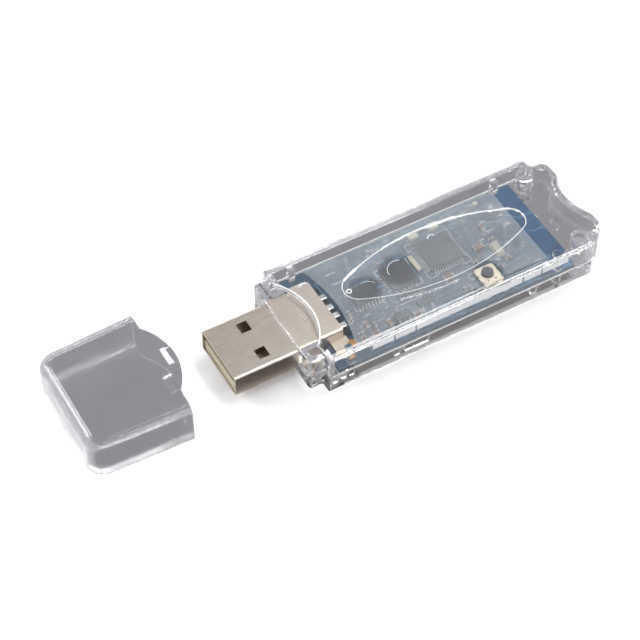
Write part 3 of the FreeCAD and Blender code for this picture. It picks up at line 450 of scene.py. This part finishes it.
# A painted highlight on the rim of the oval: two tight end arcs and two wide ones, drawn half way down its
# slope. In it is a painted highlight on the ring of the gate mark.
CASE_LOW, CASE_HIGH = node_box("upper_shell")
OVAL_LONG, OVAL_SHORT, OVAL_END, OVAL_MIDDLE, INSET = 18.25, 6.25, 3.0, 0.35, 0.15
reach = OVAL_LONG - OVAL_END
side = (reach ** 2 + OVAL_SHORT ** 2 - OVAL_END ** 2) / (2 * (OVAL_SHORT - OVAL_END))
corner = math.atan2(side - OVAL_SHORT, reach)
RIM = CASE_HIGH[2] - INSET
GATE_LONG, GATE_RADIUS, GATE_DEPTH = -16.8, 0.4, 0.26
shape = bmesh.new()
for way, thick in ((1, 0.2), (-1, 0.13)):
    start = corner if way > 0 else corner + math.pi
    centre = (OVAL_MIDDLE, way * (OVAL_SHORT - side))
    wire(shape, centre, side - INSET, start, start + math.pi - 2 * corner, thick, RIM, 64)
for turn in (0, math.pi):
    centre = (OVAL_MIDDLE + reach * math.cos(turn), 0)
    wire(shape, centre, OVAL_END - INSET, turn - corner, turn + corner, 0.15, RIM, 24)
wire(shape, (GATE_LONG, 0), GATE_RADIUS, 0, 2 * math.pi, 0.16, CASE_HIGH[2] - GATE_DEPTH, 24)
finished(shape, "painted_oval_rim_highlight", EDGE_HIGHLIGHT)

# Painted highlights on the edges of the step that takes the cap's tongue: one at its top and one at its
# foot. Each has its depth below the top of the case, how far it stands off the step, and its thickness.
STEP_RADIUS, STEP_HALF, STEP_FRONT = 11.7, 7.5, -27.2
STEP_EDGE_HIGHLIGHTS = ((0.2, 0.2, 0.24), (0.75, 0.14, 0.14))
sweep = math.asin(STEP_HALF / STEP_RADIUS)
shape = bmesh.new()
centre = (STEP_FRONT - STEP_RADIUS * math.cos(sweep), 0)
for depth, aside, thick in STEP_EDGE_HIGHLIGHTS:
    wire(shape, centre, STEP_RADIUS + aside, -sweep, sweep, thick, CASE_HIGH[2] - depth, 32)
finished(shape, "painted_step_edge_highlights", EDGE_HIGHLIGHT)

# A painted highlight: a white band drawn on the inner face of the near wall where it shines, broken where
# the catches stand.
WALL_THICK, BAND_OFF, BAND_THICK, BAND_LOW, BAND_HIGH = 1.2, 0.06, 0.05, 5.7, 7.0
BANDS = ((-18.6, -14.6), (-14.2, -10.4), (-10.0, 11.1), (11.5, 15.0), (15.4, 20.6))
band_middle = CASE_LOW[1] + WALL_THICK + BAND_OFF
shape = bmesh.new()
for start, end in BANDS:
    bar(shape, (start, band_middle), (end, band_middle), BAND_THICK, BAND_LOW, BAND_HIGH)
finished(shape, "painted_wall_band_highlight", EDGE_HIGHLIGHT)

# A painted highlight along the line where the two shells meet, on both long sides.
SPLIT = CASE_LOW[2]
LINE_REAR, LINE_FRONT, LINE_DEPTH, LINE_THICK, LINE_TALL = -26.6, 25.6, 0.1, 0.08, 0.16
shape = bmesh.new()
for wall in (CASE_LOW[1] + LINE_DEPTH, CASE_HIGH[1] - LINE_DEPTH):
    bar(shape, (LINE_REAR, wall), (LINE_FRONT, wall), LINE_THICK, SPLIT, SPLIT + LINE_TALL)
finished(shape, "painted_parting_line_highlight", EDGE_HIGHLIGHT)

# ---------------------------------------------------------------- floor, light and camera

# Half the width of the floor, and how far the floor and the board's shade lie below the object.
FLOOR_HALF, FLOOR_DROP, SHADE_DROP = 1.5, 0.00005, 0.00002


def through_plastic(tree):
    """One for a view that has passed into the plastic, and nought for one that hasn't."""
    ray = add(tree, "ShaderNodeLightPath")
    return add(tree, "ShaderNodeMath", {0: (ray, "Transmission Depth"), 1: 0.5}, operation="GREATER_THAN")


def painted_glow(tree, code):
    """What the floor gives through plastic: a flat grey glow, painted in with no shadow on it, and a paler
    glow, a painted highlight, where an edge throws the view about.
    """
    ray = add(tree, "ShaderNodeLightPath")
    grey_glow = add(tree, "ShaderNodeEmission", {"Color": shade(code), "Strength": 1.0})
    highlight_glow = add(tree, "ShaderNodeEmission", {"Color": shade("#B6B5BC"), "Strength": 1.0})
    bounced = add(tree, "ShaderNodeMath", {0: (ray, "Glossy Depth"), 1: 0.5}, operation="GREATER_THAN")
    return add(tree, "ShaderNodeMixShader", {
        0: (bounced, 0), 1: (grey_glow, "Emission"), 2: (highlight_glow, "Emission")})


# White paper under the object. Where it is seen through plastic it shows a painted glow instead: flat
# grey, and paler as a painted highlight where the view has bounced.
paper, tree = new_material("white_paper")
white = add(tree, "ShaderNodeBsdfDiffuse", {"Color": shade("#FAFAFA")})
above_floor = add(tree, "ShaderNodeMixShader", {
    0: (through_plastic(tree), 0), 1: (white, "BSDF"), 2: (painted_glow(tree, "#97959A"), "Shader")})
# From below the paper is left out, so that the underside can be looked at.
side_seen = add(tree, "ShaderNodeNewGeometry")
gone = add(tree, "ShaderNodeBsdfTransparent")
both = add(tree, "ShaderNodeMixShader", {
    0: (side_seen, "Backfacing"), 1: (above_floor, "Shader"), 2: (gone, "BSDF")})
add(tree, "ShaderNodeOutputMaterial", {"Surface": (both, "Shader")})
shape = bmesh.new()
bmesh.ops.create_grid(shape, x_segments=1, y_segments=1, size=FLOOR_HALF)
floor = linked(shape, "floor", paper)
floor.location.z = -FLOOR_DROP


def card(name, low, high, height, material):
    """A flat rectangle on the floor, hidden from the camera, from diffuse light and from shadows."""
    shape = bmesh.new()
    bmesh.ops.create_grid(shape, x_segments=1, y_segments=1, size=0.5)
    bmesh.ops.scale(shape, vec=(high[0] - low[0], high[1] - low[1], 1), verts=shape.verts)
    middle = ((low[0] + high[0]) / 2, (low[1] + high[1]) / 2, height)
    bmesh.ops.translate(shape, vec=middle, verts=shape.verts)
    item = linked(shape, name, material)
    item.visible_camera = False
    item.visible_diffuse = False
    item.visible_shadow = False


# A dark card beside the plug, for the plug's side to mirror. It isn't seen through plastic.
umber, tree = new_material("umber_card")
matt = add(tree, "ShaderNodeBsdfDiffuse", {"Color": shade("#57504B")})
gone = add(tree, "ShaderNodeBsdfTransparent")
shown = add(tree, "ShaderNodeMixShader", {
    0: (through_plastic(tree), 0), 1: (matt, "BSDF"), 2: (gone, "BSDF")})
add(tree, "ShaderNodeOutputMaterial", {"Surface": (shown, "Shader")})
PLUG_LOW, PLUG_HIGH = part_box("plug_shell")
CARD_REACH = 0.03
card_low = (PLUG_LOW[0] - CARD_REACH, PLUG_LOW[1] - CARD_REACH)
card("dark_card", card_low, (PLUG_HIGH[0], PLUG_LOW[1]), 0, umber)

# The shade under the board, seen only through the case.
shaded, tree = new_material("shade_under_board")
gone = add(tree, "ShaderNodeBsdfTransparent")
shown = add(tree, "ShaderNodeMixShader", {
    0: (through_plastic(tree), 0), 1: (gone, "BSDF"), 2: (painted_glow(tree, "#5E5A58"), "Shader")})
add(tree, "ShaderNodeOutputMaterial", {"Surface": (shown, "Shader")})
board_low, board_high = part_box("circuit_board")
card("board_shade", board_low, board_high, -SHADE_DROP, shaded)


def lamp(name, place, target, size, power):
    """A white soft box at a place in metres, turned towards its target, of a power in watts."""
    data = bpy.data.lights.new(name, "AREA")
    data.shape = "RECTANGLE"
    data.size, data.size_y = size
    data.energy = power
    item = bpy.data.objects.new(name, data)
    item.location = place
    item.rotation_euler = (Vector(target) - Vector(place)).to_track_quat("-Z", "Y").to_euler()
    scene.collection.objects.link(item)


lamp("overhead", (0.16, -0.02, 0.5), (0, 0, 0), (0.5, 0.09), 1.5)
lamp("left_box", (-0.42, 0.32, 0.36), (-0.04, 0, 0), (0.22, 0.22), 1.75)
lamp("front_strip", (0.1, -0.42, 0.32), (0, 0, 0), (0.5, 0.06), 0.9)
lamp("far_strip", (0.1, 0.55, 0.22), (0, 0, 0), (0.6, 0.08), 1.2)

world = bpy.data.worlds.new("studio")
world.use_nodes = True
world.node_tree.nodes["Background"].inputs["Color"].default_value = shade("#F2F2F4")
world.node_tree.nodes["Background"].inputs["Strength"].default_value = 0.42
scene.world = world

# The camera: its bearing and height as angles, its distance from the point it is aimed at, how far
# that point lies to the right of and above a middle on the floor, and the width of view there.
AZIMUTH, ELEVATION = math.radians(-29.787), math.radians(50.254)
DISTANCE = 324.42
MIDDLE, TO_RIGHT, UPWARD = Vector((-30, 0, 0)), 6.537, 5.506
SENSOR, VIEW_WIDE = 36, 108.88057
right = Vector((math.cos(AZIMUTH), math.sin(AZIMUTH), 0))
back = Vector((math.sin(AZIMUTH) * math.cos(ELEVATION), -math.cos(AZIMUTH) * math.cos(ELEVATION),
               math.sin(ELEVATION)))
above = back.cross(right)
aim = MIDDLE + right * TO_RIGHT + above * UPWARD
data = bpy.data.cameras.new("camera")
data.sensor_width = SENSOR
data.lens = SENSOR * DISTANCE / VIEW_WIDE
data.clip_start = 0.01
camera = bpy.data.objects.new("camera", data)
facing = Matrix((right, above, back)).transposed().to_4x4()
camera.matrix_world = Matrix.Translation((aim + back * DISTANCE) * MM) @ facing
scene.collection.objects.link(camera)
scene.camera = camera

scene.view_settings.view_transform = "Standard"
# Light is trapped for many turns in the thick plastic, and ends black when it is cut short.
scene.cycles.max_bounces = 64
scene.cycles.transmission_bounces = 32
scene.cycles.transparent_max_bounces = 32
scene.cycles.glossy_bounces = 32
